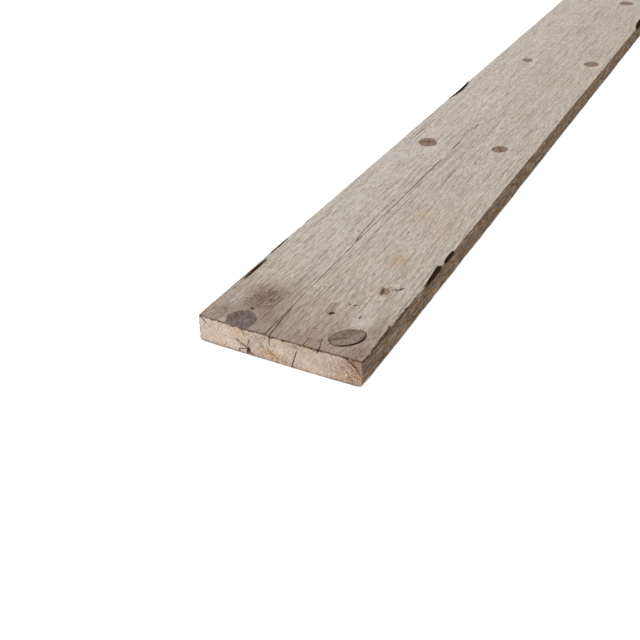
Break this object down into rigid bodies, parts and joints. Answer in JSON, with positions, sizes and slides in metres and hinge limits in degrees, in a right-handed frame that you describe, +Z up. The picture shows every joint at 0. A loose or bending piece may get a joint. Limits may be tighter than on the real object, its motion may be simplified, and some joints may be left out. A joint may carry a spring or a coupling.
{
  "type": "scaffold plank",
  "caption": "Weathered, cupped pine scaffold plank with sawn ends, dead knots in their sockets, drying splits and bark left on its upper edges.",
  "frame": {"origin": "under the middle of the plank, on the surface it lies on (bottom centre of its box)", "axes": "+X across the width, +Y along the length away from the near sawn end, +Z up out of the hollow (cupped) face"},
  "size_m": [0.195, 2.5, 0.0335],
  "materials": {
    "weathered_pine": "weathered, rough sawn",
    "dead_knot": "dry, dense end grain",
    "bark": "flaky, rough"
  },
  "bodies": {
    "root": {"board": "weathered_pine", "knot_near_end": "dead_knot", "knot_near_loose": "dead_knot", "knot_small_near": "dead_knot", "knot_whorl_2_left": "dead_knot", "knot_whorl_2_right": "dead_knot", "knot_whorl_3_left": "dead_knot", "knot_whorl_3_right": "dead_knot", "knot_whorl_4_left": "dead_knot", "knot_whorl_4_right": "dead_knot", "knot_whorl_5_left": "dead_knot", "knot_whorl_5_right": "dead_knot", "bark_right_long": "bark", "bark_right_thin": "bark", "bark_right_far": "bark", "bark_left_far": "bark"}
  },
  "joints": []
}
